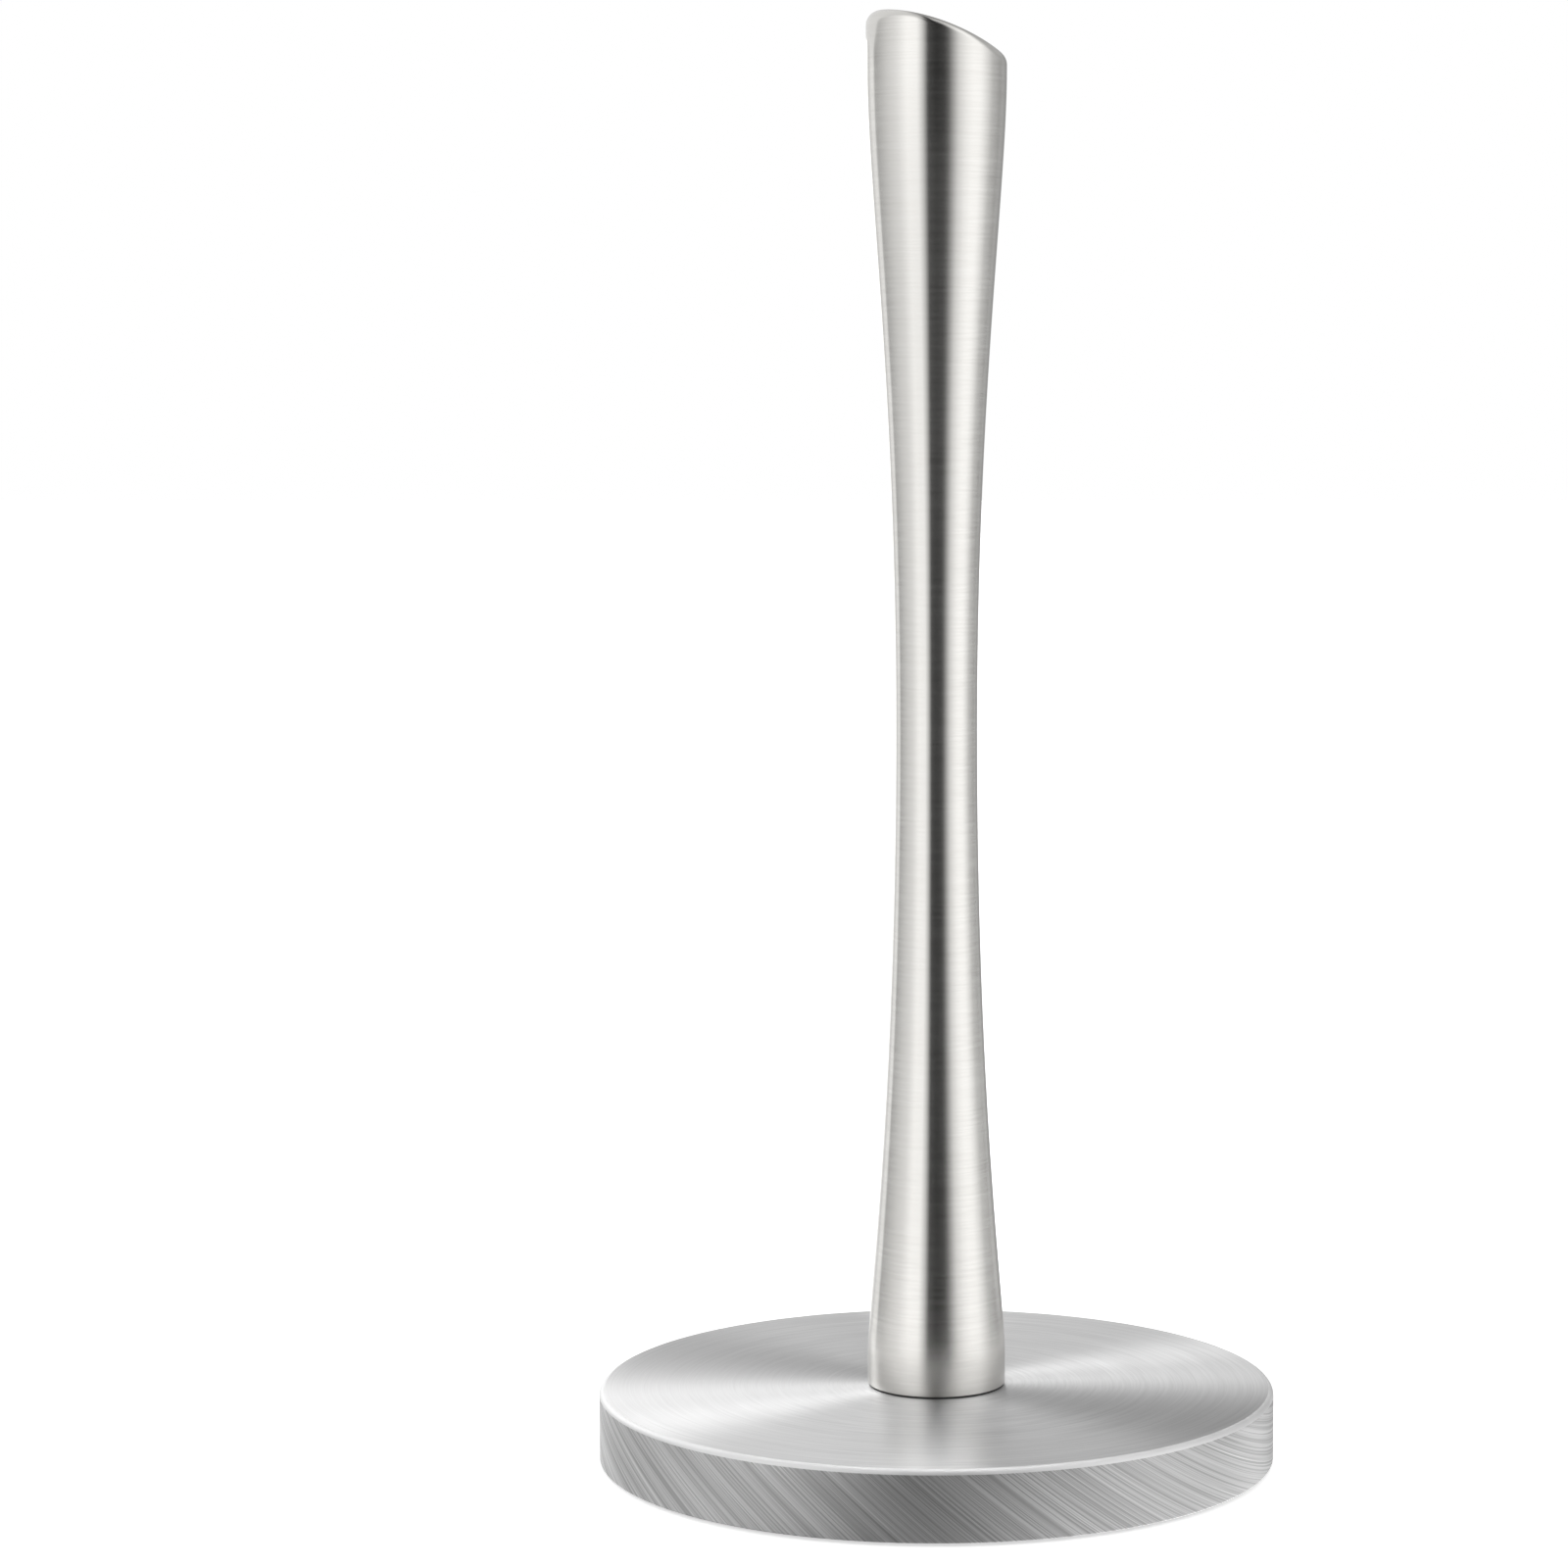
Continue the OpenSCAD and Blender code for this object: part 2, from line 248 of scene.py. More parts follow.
def make_post_shell(n=256, rows=150, edge_steps=6):
    """The waisted tube, with a rounded lower edge and its upper edge in the leaning seam."""
    edge = SHEET * 0.35
    rings = []

    def wall(inset, s):
        def place(a):
            r = POST_R - inset
            z = FOOT_Z + edge + s * (seam_height(r, a) - FOOT_Z - edge)
            return post_radius(z) - inset, z
        return place

    for k in range(rows + 1):
        rings.append(shaped_ring(n, wall(0, k / rows)))
    for k in range(rows + 1):
        rings.append(shaped_ring(n, wall(SHEET, 1 - k / rows)))
    for k in range(1, edge_steps):
        a = math.pi / 2 * k / edge_steps
        rings.append(ring(POST_R - SHEET + edge * (1 - math.cos(a)), FOOT_Z + edge * (1 - math.sin(a)), n))
    for k in range(edge_steps):
        a = math.pi / 2 * (1 - k / edge_steps)
        rings.append(ring(POST_R - edge * (1 - math.cos(a)), FOOT_Z + edge * (1 - math.sin(a)), n))
    return skin("post_shell", rings, True)


def make_post_cap(n=256, wall_rows=8):
    """The arched closure, with its upright wall, its thickness and the lip inside the tube."""
    outer = top_rings(0, n, 14, 18)
    inner = top_rings(SHEET, n, 10, 12)
    bore = POST_R - SHEET
    lip_out = bore - LIP_GAP
    lip_in = lip_out - SHEET
    lip_top = 1.2 * MM
    lip_slope = 0.2 * MM

    def between(ring_low, ring_high, count):
        return [[tuple(Vector(p).lerp(Vector(q), k / count)) for p, q in zip(ring_low, ring_high)]
                for k in range(count)]

    def at_seam(r, lift):
        return shaped_ring(n, lambda a: (r, seam_height(r, a) + lift))

    rings = between(at_seam(POST_R, 0), outer[0], wall_rows) + outer
    rings += list(reversed(inner))
    rings += [at_seam(bore, lip_top + lip_slope), at_seam(lip_in, lip_top), at_seam(lip_in, -LIP_DEPTH),
              at_seam(lip_out, -LIP_DEPTH), at_seam(lip_out, 0)]
    return skin_with_poles("post_cap", rings)


def skin_with_poles(name, rings, crease=40):
    """Like skin, for a closed body whose outer and inner skins each end in a pole."""
    pole = next(i for i, r in enumerate(rings) if len(r) == 1)
    loop = rings[pole + 1:] + rings[:pole + 1]
    return skin(name, loop, False, crease)


# ---------------------------------------------------------------- pieces


def make_base_cover():
    """Drawn cover: flat top with a hole, rounded edge, upright side and a turned lower edge."""
    hole = BOLT_R + BOLT_GAP
    hole_edge = 0.15 * MM
    low = COVER_LOW.z
    burr = SHEET * 0.45
    longest_cut = 4 * MM
    corners = [(hole, BASE_TOP, hole_edge), (BASE_R, BASE_TOP, COVER_EDGE_R), (BASE_R, low, burr),
               (BASE_R - SHEET, low, burr * 0.9), (BASE_R - SHEET, BASE_TOP - SHEET, COVER_EDGE_R - SHEET),
               (hole, BASE_TOP - SHEET, hole_edge)]
    points = rounded(corners, 10)
    outline = []
    for i, p in enumerate(points):
        after = points[(i + 1) % len(points)]
        cuts = max(1, round((after - p).length / longest_cut))
        outline += [p.lerp(after, k / cuts) for k in range(cuts)]
    return skin("base_cover_skin", [ring(p.x, p.y, 512) for p in outline], True)


def make_foot_ring():
    """Thin flange under the post, with a spigot that stands inside the tube."""
    low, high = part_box("foot_ring")
    spigot_gap = 0.3 * MM
    spigot_wall = 1.3 * MM
    flange_edge = 0.12 * MM
    spigot = POST_R - SHEET - spigot_gap
    inside = spigot - spigot_wall
    corners = [(inside, low.z, 0.1 * MM), (high.x, low.z, flange_edge), (high.x, FOOT_Z, flange_edge),
               (spigot, FOOT_Z, 0), (spigot, high.z, 0.4 * MM), (inside, high.z, 0.3 * MM)]
    return lathe("foot_slip_ring", corners, 192)


def make_pad():
    """Flat rubber ring with two grooves in the face that it stands on."""
    low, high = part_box("nonslip_pad")
    width = 30 * MM
    outer, inner = high.x, high.x - width
    soft = 0.5 * MM
    corners = [(inner, low.z, soft)]
    for middle in (inner + width / 3, outer - width / 3):
        a, b = middle - GROOVE_W / 2, middle + GROOVE_W / 2
        corners += [(a, low.z, soft * 0.4), (a, low.z + GROOVE_DEPTH, soft * 0.4),
                    (b, low.z + GROOVE_DEPTH, soft * 0.4), (b, low.z, soft * 0.4)]
    corners += [(outer, low.z, soft), (outer, high.z, soft * 0.3), (inner, high.z, soft * 0.3)]
    return lathe("grip_pad", corners, 256)


def make_flat_washer():
    """Punched washer, rounder on its upper face."""
    low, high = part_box("flat_washer")
    hole = BOLT_R + BOLT_GAP
    corners = [(hole, low.z, 0.1 * MM), (high.x, low.z, 0.1 * MM), (high.x, high.z, 0.35 * MM),
               (hole, high.z, 0.25 * MM)]
    return lathe("washer_flat", corners, 96)


def make_spring_washer(n=90):
    """A split ring whose two ends are cut on a slant and stand a little apart."""
    low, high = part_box("spring_washer")
    inner, outer = BOLT_R + BOLT_GAP, high.x
    middle = (low.z + high.z) / 2
    bevel = 0.18 * MM
    gap = math.radians(7)
    section = [(p.x, p.y) for p in rounded([(inner, low.z, bevel), (outer, low.z, bevel),
                                            (outer, high.z, bevel), (inner, high.z, bevel)], 3)]
    lean = math.radians(30)
    mesh = bpy.data.meshes.new("washer_spring")
    bm = bmesh.new()
    rows = []
    for k in range(n + 1):
        a = gap + (TURN - 2 * gap) * k / n
        row = []
        for r, z in section:
            shift = (z - middle) * math.tan(lean) / r
            turned = a - shift * (1 - 2 * min(k, n - k) / n) ** 8
            row.append(bm.verts.new((r * math.cos(turned), r * math.sin(turned), z)))
        rows.append(row)
    m = len(section)
    for a, b in zip(rows, rows[1:]):
        for i in range(m):
            bm.faces.new([a[i], a[(i + 1) % m], b[(i + 1) % m], b[i]])
    bm.faces.new(rows[0])
    bm.faces.new(list(reversed(rows[-1])))
    bmesh.ops.recalc_face_normals(bm, faces=bm.faces)
    bm.to_mesh(mesh)
    bm.free()
    mesh.shade_smooth()
    mesh.set_sharp_from_angle(angle=math.radians(40))
    obj = bpy.data.objects.new("washer_spring", mesh)
    bpy.context.scene.collection.objects.link(obj)
    return obj


def hexagon(flats):
    """Radius of a hexagon with corners along +X and -X, as a function of angle."""

    def radius(a):
        return flats / 2 / math.cos((a % (TURN / 6)) - TURN / 12)

    return radius


def hex_edge(flats, z_face, up, n):
    """The rings where a hexagon's corners are turned off towards a face."""
    radius = hexagon(flats)
    face_r = HEX_FACE * flats

    def corner(a):
        return radius(a), z_face - up * (radius(a) - face_r) * math.tan(math.radians(30))

    return [shaped_ring(n, corner), ring(face_r, z_face, n)]


def make_center_bolt(n=72):
    """Hexagon bolt, head down, with a dished head, a washer face and a threaded shank."""
    low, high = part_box("center_bolt")
    flats = high.y - low.y
    seat = high.z - BOLT_LENGTH
    chamfer = 0.8 * MM
    dish = 0.25 * MM
    thread_root = BOLT_R - 0.65 * BOLT_PITCH
    rings = [[(0, 0, low.z + dish)], ring(0.30 * flats, low.z + dish, n), ring(0.34 * flats, low.z, n)]
    rings += list(reversed(hex_edge(flats, low.z, -1, n)))
    rings += [shaped_ring(n, lambda a: (hexagon(flats)(a), seat - 0.4 * MM)),
              shaped_ring(n, lambda a: (hexagon(flats)(a) - 0.1 * MM, seat - 0.25 * MM)),
              ring(HEX_FACE * flats, seat - 0.2 * MM, n), ring(0.47 * flats, seat, n),
              ring(BOLT_R, seat, n), ring(BOLT_R, seat + 4 * MM, n)]
    rings += thread_rings(thread_root, BOLT_R, BOLT_PITCH, seat + 5 * MM, high.z - chamfer, n)
    rings += [ring(thread_root, high.z, n), [(0, 0, high.z)]]
    return skin("bolt_m8", rings, False, 35)


def make_clamp_nut(n=72):
    """Hexagon nut, chamfered on both faces, with a threaded bore."""
    low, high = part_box("clamp_nut")
    flats = high.y - low.y
    mouth = BOLT_R + THREAD_GAP
    root = mouth + 0.02 * MM
    lead = 0.5 * MM
    rings = hex_edge(flats, high.z, 1, n) + [ring(mouth + lead, high.z, n)]
    rings += list(reversed(thread_rings(root, BOLT_R - 0.02 * MM, BOLT_PITCH,
                                        low.z + lead, high.z - lead, n)))
    rings += [ring(mouth + lead, low.z, n)]
    rings += list(reversed(hex_edge(flats, low.z, -1, n)))
    return skin("nut_m8", rings, True, 35)


def make_foot_insert(n=96, side_rows=12):
    """Turned plug with chamfers and a tapped bore."""
    low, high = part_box("foot_insert")
    clearance = 0.03 * MM
    gap = SHEET + clearance
    lead = 0.6 * MM
    bore = BOLT_R + THREAD_GAP
    rings = []
    for k in range(side_rows + 1):
        z = low.z + lead + (high.z - low.z - 2 * lead) * k / side_rows
        rings.append(ring(post_radius(z) - gap, z, n))
    rings += [ring(post_radius(high.z) - gap - lead, high.z, n), ring(bore + lead, high.z, n)]
    rings += list(reversed(thread_rings(bore + 0.02 * MM, BOLT_R, BOLT_PITCH,
                                        low.z + lead, high.z - lead, n)))
    rings += [ring(bore + lead, low.z, n), ring(post_radius(low.z) - gap - lead, low.z, n)]
    return skin("insert_m8", rings, True, 35)


def make_tray_screws(n=48):
    """Four countersunk screws with a cross recess, cut with a tapered cross."""
    low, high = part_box("tray_screws")
    head_r = 2 * SCREW_R
    length = high.z - low.z
    cone = head_r - SCREW_R
    rings = [[(0, 0, 0)], ring(head_r * 0.6, 0, n), ring(head_r * 0.96, 0, n), ring(head_r, 0.12 * MM, n),
             ring(head_r, 0.3 * MM, n), ring(SCREW_R + 0.1 * MM, cone, n), ring(SCREW_R, cone + 0.2 * MM, n)]
    rings += thread_rings(SCREW_R - 0.6 * SCREW_PITCH, SCREW_R, SCREW_PITCH,
                          cone + 0.8 * MM, length - 0.5 * MM, n, 8)
    rings += [ring(SCREW_R - 0.8 * SCREW_PITCH, length, n), [(0, 0, length)]]
    screw = skin("tray_screw_1", rings, False, 35)
    cutter = cross_cutter(head_r)
    cut = screw.modifiers.new("recess", "BOOLEAN")
    cut.operation = "DIFFERENCE"
    cut.solver = "EXACT"
    cut.object = cutter
    mesh = bpy.data.meshes.new_from_object(screw.evaluated_get(bpy.context.evaluated_depsgraph_get()))
    screw.modifiers.clear()
    bpy.data.objects.remove(cutter)
    mesh.set_sharp_from_angle(angle=math.radians(35))
    screws = [screw]
    for k in range(1, 4):
        screws.append(bpy.data.objects.new(f"tray_screw_{k + 1}", mesh))
        bpy.context.scene.collection.objects.link(screws[k])
    for k, (piece, (x, y)) in enumerate(zip(screws, screw_spots(head_r))):
        piece.data = mesh.copy()
        turn = math.radians(17 + 41 * k)
        for v in piece.data.vertices:
            px, py = v.co.x, v.co.y
            v.co.x = x + px * math.cos(turn) - py * math.sin(turn)
            v.co.y = y + px * math.sin(turn) + py * math.cos(turn)
            v.co.z += low.z
    return screws


def screw_spots(head_r):
    """Centres of the tray screws, on the diagonals."""
    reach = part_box("tray_screws")[1].x - head_r
    return [(reach * sx, reach * sy) for sx, sy in ((1, 1), (-1, 1), (-1, -1), (1, -1))]


def cross_cutter(head_r):
    """A tapered cross, wider at the face of the screw than at its depth."""
    mesh = bpy.data.meshes.new("cutter")
    bm = bmesh.new()
    depth, past = 1.3 * MM, 0.5 * MM
    for quarter in range(2):
        top = (head_r * 0.60, head_r * 0.115)
        tip = (head_r * 0.22, head_r * 0.075)
        slope = past / depth
        wide = [t + (t - b) * slope for t, b in zip(top, tip)]
        corners = []
        for (length, width), z in ((wide, -past), (tip, depth)):
            for sx, sy in ((1, 1), (-1, 1), (-1, -1), (1, -1)):
                p = (sx * length, sy * width) if quarter == 0 else (sx * width, sy * length)
                corners.append(bm.verts.new((p[0], p[1], z)))
        low, high = corners[:4], corners[4:]
        bm.faces.new(low)
        bm.faces.new(high)
        for i in range(4):
            bm.faces.new([low[i], low[(i + 1) % 4], high[(i + 1) % 4], high[i]])
    bmesh.ops.recalc_face_normals(bm, faces=bm.faces)
    bm.to_mesh(mesh)
    bm.free()
    obj = bpy.data.objects.new("cutter", mesh)
    bpy.context.scene.collection.objects.link(obj)
    return obj


# ---------------------------------------------------------------- node helpers


class Graph:
    """Short calls that add nodes to one tree. A value may be a number, a tuple or a socket."""

    def __init__(self, tree):
        self.tree = tree

    def put(self, socket, value):
        if isinstance(value, bpy.types.NodeSocket):
            self.tree.links.new(value, socket)
        else:
            socket.default_value = value

    def node(self, kind, *values, **settings):
        made = self.tree.nodes.new(kind)
        for key, value in settings.items():
            setattr(made, key, value)
        for socket, value in zip(made.inputs, values):
            if value is not None:
                self.put(socket, value)
        return made

    def math(self, operation, *values):
        return self.node("ShaderNodeMath", *values, operation=operation).outputs[0]

    def vector_math(self, operation, *values):
        made = self.node("ShaderNodeVectorMath", *values, operation=operation)
        return made.outputs["Value" if operation in ("LENGTH", "DOT_PRODUCT") else "Vector"]

    def combine(self, x, y, z):
        return self.node("ShaderNodeCombineXYZ", x, y, z).outputs[0]

    def separate(self, vector):
        return self.node("ShaderNodeSeparateXYZ", vector).outputs

    def noise(self, vector, scale, detail=2.0, roughness=0.5, w=None):
        made = self.tree.nodes.new("ShaderNodeTexNoise")
        made.noise_dimensions = "3D" if w is None else "4D"
        self.put(made.inputs["Vector"], vector)
        if w is not None:
            self.put(made.inputs["W"], w)
        made.inputs["Scale"].default_value = scale
        made.inputs["Detail"].default_value = detail
        made.inputs["Roughness"].default_value = roughness
        return made.outputs[0]

    def scaled(self, value, low, high, low_out, high_out):
        """Maps low..high to low_out..high_out, held at the ends."""
        return self.node("ShaderNodeMapRange", value, low, high, low_out, high_out).outputs[0]

    def ramp(self, factor, stops):
        """A colour ramp through stops (place, colour or grey level)."""
        made = self.node("ShaderNodeValToRGB", factor)
        elements = made.color_ramp.elements
        while len(elements) < len(stops):
            elements.new(0.5)
        for element, (place, colour) in zip(elements, stops):
            element.position = place
            element.color = (*colour, 1) if isinstance(colour, tuple) else (colour, colour, colour, 1)
        return made.outputs[0]

    def mix(self, factor, a, b):
        """Colour a at factor 0 and colour b at factor 1."""
        made = self.tree.nodes.new("ShaderNodeMix")
        made.data_type = "RGBA"
        self.put(made.inputs["Factor"], factor)
        self.put(made.inputs[6], a if isinstance(a, bpy.types.NodeSocket) else (*a, 1))
        self.put(made.inputs[7], b if isinstance(b, bpy.types.NodeSocket) else (*b, 1))
        return made.outputs[2]

    def bump(self, height, strength, distance):
        made = self.tree.nodes.new("ShaderNodeBump")
        made.inputs["Strength"].default_value = strength
        made.inputs["Distance"].default_value = distance
        self.put(made.inputs["Height"], height)
        return made.outputs[0]

    def place(self):
        """The place on the piece, in its own frame."""
        return self.node("ShaderNodeTexCoord").outputs["Object"]


def material(name, metallic, roughness, **constants):
    """A new material with its Principled shader, and the graph to fill in."""
    made = bpy.data.materials.new(name)
    made.use_nodes = True
    tree = made.node_tree
    shader = tree.nodes["Principled BSDF"]
    shader.inputs["Metallic"].default_value = metallic
    shader.inputs["Roughness"].default_value = roughness
    for key, value in constants.items():
        shader.inputs[key.replace("_", " ")].default_value = value
    return made, Graph(tree), shader


def around(g):
    """Height, distance from the axis, and the two parts of the unit direction from the axis."""
    x, y, z = g.separate(g.place())[:3]
    r = g.math("SQRT", g.math("ADD", g.math("MULTIPLY", x, x), g.math("MULTIPLY", y, y)))
    safe = g.math("MAXIMUM", r, 1e-5)
    return z, r, g.math("DIVIDE", x, safe), g.math("DIVIDE", y, safe)


def finish_steel(g, shader, grain, colours, rough, depth):
    """Colour, roughness and relief that follow one grain, 0 to 1."""
    g.put(shader.inputs["Base Color"], g.mix(grain, *colours))
    g.put(shader.inputs["Roughness"], g.scaled(grain, 0, 1, *rough))
    g.put(shader.inputs["Normal"], g.bump(grain, 1.0, depth))


def layered(g, *layers):
    """Weighted sum of noises, stretched from 0.3..0.7 to 0..1."""
    total = None
    for weight, value in layers:
        part = g.math("MULTIPLY", value, weight)
        total = part if total is None else g.math("ADD", total, part)
    return g.scaled(total, 0.3, 0.7, 0, 1)


# ---------------------------------------------------------------- materials


def post_steel():
    """Warm stainless steel with fine scratches around the post."""
    made, g, shader = material("post_steel", 1.0, 0.2, Anisotropic=0.97)
    z, _, ux, uy = around(g)

    def hoops(fine, length):
        return g.noise(g.combine(g.math("MULTIPLY", ux, length), g.math("MULTIPLY", uy, length),
                                 g.math("MULTIPLY", z, fine)), 1.0, 2.0, 0.6)

    grain = layered(g, (0.4, hoops(2600, 0.9)), (0.35, hoops(900, 1.3)), (0.25, hoops(60, 0.8)))
    finish_steel(g, shader, grain, ((0.765, 0.750, 0.720), (0.880, 0.868, 0.840)), (0.18, 0.24), 0.000001)
    g.put(shader.inputs["Tangent"], g.combine(0, 0, 1))
    return made


def cover_top_steel():
    """Stainless steel with spun rings about the centre."""
    made, g, shader = material("cover_top_steel", 1.0, 0.43, Anisotropic=0.96)
    _, r, ux, uy = around(g)

    def arcs(fine, length):
        return g.noise(g.combine(g.math("MULTIPLY", r, fine), g.math("MULTIPLY", ux, length),
                                 g.math("MULTIPLY", uy, length)), 1.0, 2.0, 0.6)

    grain = layered(g, (0.44, arcs(2600, 2.6)), (0.38, arcs(1000, 1.9)), (0.18, arcs(260, 1.2)))
    finish_steel(g, shader, grain, ((0.66, 0.66, 0.66), (0.86, 0.86, 0.86)), (0.38, 0.47), 0.000003)
    g.put(shader.inputs["Tangent"], g.combine(ux, uy, 0))
    return made


def cover_edge_painted_highlight():
    """The rounded edge of the cover: a lighter, softer copy of the cover steel, whose near-white colour
    paints the rim's highlight.
    """
    made, g, shader = material("cover_edge_painted_highlight", 1.0, 0.6)
    z, _, ux, uy = around(g)
    grain = layered(g, (0.5, g.noise(g.combine(g.math("MULTIPLY", z, 2500), g.math("MULTIPLY", ux, 8),
                                               g.math("MULTIPLY", uy, 8)), 1.0, 2.0)),
                    (0.5, g.noise(g.combine(ux, uy, z), 9.0, 2.0)))
    # Near-white colours: a painted highlight along the rim, lighter than the sheet's own steel
    finish_steel(g, shader, grain, ((0.90, 0.90, 0.90), (0.97, 0.97, 0.97)), (0.55, 0.65), 0.0000005)
    return made


def cover_side_steel():
    """Stainless steel with long brush lines that lean across the side, most at the front."""
    level, swell, front = -0.10, 0.98, math.radians(-8)
    made, g, shader = material("cover_side_steel", 1.0, 0.55, Anisotropic=0.7)
    z, _, ux, uy = around(g)
    angle = g.math("SUBTRACT", g.math("ARCTAN2", ux, g.math("MULTIPLY", uy, -1)), front)
    wave = g.math("COSINE", angle)
    half = g.math("MULTIPLY", g.math("ADD", wave, 1), 0.5)
    slope = g.math("ADD", g.math("MULTIPLY", g.math("MULTIPLY", half, half), swell), level)
    mean = level + swell * 3 / 8
    ripple = g.math("ADD", g.math("MULTIPLY", g.math("SINE", angle), swell / 2),
                    g.math("MULTIPLY", g.math("SINE", g.math("MULTIPLY", angle, 2)), swell / 16))
    along = g.math("ADD", g.math("ADD", angle, g.math("DIVIDE", ripple, mean)),
                   g.math("DIVIDE", z, BASE_R * mean))
    loop_x = g.math("MULTIPLY", g.math("COSINE", along), BASE_R * mean)
    loop_y = g.math("MULTIPLY", g.math("SINE", along), BASE_R * mean)

    def streaks(fine, length, detail=2.0):
        return g.noise(g.combine(g.math("MULTIPLY", loop_x, fine), g.math("MULTIPLY", loop_y, fine),
                                 g.math("MULTIPLY", ux, length)), 1.0, detail, 0.6,
                       w=g.math("MULTIPLY", uy, length))

    scores = g.scaled(streaks(2300, 0.9, 0.0), 0.37, 0.42, 0.22, 1)
    nicks = g.scaled(streaks(3900, 1.4, 0.0), 0.36, 0.43, 0.6, 1)
    grain = layered(g, (0.50, streaks(4200, 1.8)), (0.38, streaks(2000, 1.3)), (0.12, streaks(600, 0.8)))
    grain = g.math("MULTIPLY", g.math("MULTIPLY", grain, scores), nicks)
    finish_steel(g, shader, grain, ((0.42, 0.42, 0.42), (0.92, 0.92, 0.92)), (0.50, 0.62), 0.000006)
    tilt = g.math("ARCTANGENT", slope)
    flat, rise = g.math("SINE", tilt), g.math("COSINE", tilt)
    g.put(shader.inputs["Tangent"], g.combine(g.math("MULTIPLY", g.math("MULTIPLY", uy, -1), flat),
                                              g.math("MULTIPLY", ux, flat), rise))
    return made


def turned_steel():
    """Dull turned steel with fine tool marks about the axis."""
    made, g, shader = material("turned_steel", 1.0, 0.35, Anisotropic=0.6)
    z, r, ux, uy = around(g)
    lines = g.math("ADD", g.math("MULTIPLY", r, 3000), g.math("MULTIPLY", z, 3000))
    grain = g.noise(g.combine(lines, g.math("MULTIPLY", ux, 1.5), g.math("MULTIPLY", uy, 1.5)), 1.0, 2.0)
    patches = g.noise(g.place(), 220, 3.0)
    finish_steel(g, shader, layered(g, (0.7, grain), (0.3, patches)),
                 ((0.38, 0.38, 0.37), (0.58, 0.58, 0.57)), (0.28, 0.45), 0.000004)
    g.put(shader.inputs["Tangent"], g.combine(ux, uy, 0))
    return made


def zinc_steel():
    """Bright zinc plate, a little blue, with a soft crystalline mottle."""
    made, g, shader = material("zinc_steel", 1.0, 0.28)
    grain = g.noise(g.place(), 1800, 3.0)
    patches = g.noise(g.place(), 260, 4.0)
    finish_steel(g, shader, layered(g, (0.7, grain), (0.3, patches)),
                 ((0.52, 0.55, 0.58), (0.74, 0.77, 0.80)), (0.2, 0.36), 0.000008)
    return made


def spring_steel():
    """Oil-blackened spring steel."""
    made, g, shader = material("spring_steel", 1.0, 0.45)
    grain = g.noise(g.place(), 2600, 3.0)
    patches = g.noise(g.place(), 300, 3.0)
    finish_steel(g, shader, layered(g, (0.7, grain), (0.3, patches)),
                 ((0.10, 0.10, 0.105), (0.21, 0.21, 0.21)), (0.38, 0.55), 0.000006)
    return made


def ballast_iron():
    """Sand-cast iron under thin black paint."""
    made, g, shader = material("ballast_iron", 0.35, 0.7)
    grain = g.noise(g.place(), 1100, 5.0, 0.6)
    patches = g.noise(g.place(), 90, 4.0)
    finish_steel(g, shader, layered(g, (0.7, grain), (0.3, patches)),
                 ((0.045, 0.045, 0.05), (0.12, 0.12, 0.125)), (0.55, 0.8), 0.00012)
    return made


def moulded_plastic(name, dark, light, rough, texture, depth):
    """Injection-moulded plastic with a fine spark-eroded texture."""
    made, g, shader = material(name, 0.0, rough[0])
    grain = g.noise(g.place(), texture, 3.0, 0.6)
    patches = g.noise(g.place(), 45, 3.0)
    finish_steel(g, shader, layered(g, (0.7, grain), (0.3, patches)), (dark, light), rough, depth)
    return made


# ---------------------------------------------------------------- the object

POST_STEEL = post_steel()
# The second steel, on the cover's rounded edge, is a lighter copy that paints the rim's highlight
COVER_STEELS = [cover_top_steel(), cover_edge_painted_highlight(), cover_side_steel()]
TURNED_STEEL = turned_steel()
ZINC_STEEL = zinc_steel()
SPRING_STEEL = spring_steel()
BALLAST_IRON = ballast_iron()
BLACK_ABS = moulded_plastic("black_abs", (0.018, 0.018, 0.019), (0.032, 0.032, 0.034),
                            (0.5, 0.62), 2600, 0.00003)
BLACK_NYLON = moulded_plastic("black_nylon", (0.02, 0.02, 0.02), (0.035, 0.035, 0.035),
                              (0.38, 0.5), 1500, 0.00001)
PAD_RUBBER = moulded_plastic("pad_rubber", (0.025, 0.025, 0.028), (0.05, 0.05, 0.054),
                             (0.7, 0.85), 1900, 0.00005)


def finish_piece(piece, body, slot, node, *materials):
    """Gives a piece its materials, puts it on its body and hides the CAD node it stands for."""
    piece.data.materials.clear()
    for m in materials:
        piece.data.materials.append(m)
    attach(piece, body)
    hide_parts(node)
    return piece


def paint_cover(cover):
    """Top, rounded edge and side of the cover each take their own steel; the edge's is a lighter copy that
    paints the rim's highlight.
    """
    top, edge, side = 0, 1, 2
    level, upright = 0.985, 0.17
    for face in cover.data.polygons:
        up = abs(face.normal.z)
        outside = math.hypot(face.center.x, face.center.y)
        if up > level:
            face.material_index = top
        # The rounded edge takes the lighter steel with the painted highlight
        elif up > upright and outside > BASE_R - 2 * COVER_EDGE_R and face.center.z > BASE_TOP / 2:
            face.material_index = edge
        else:
            face.material_index = side


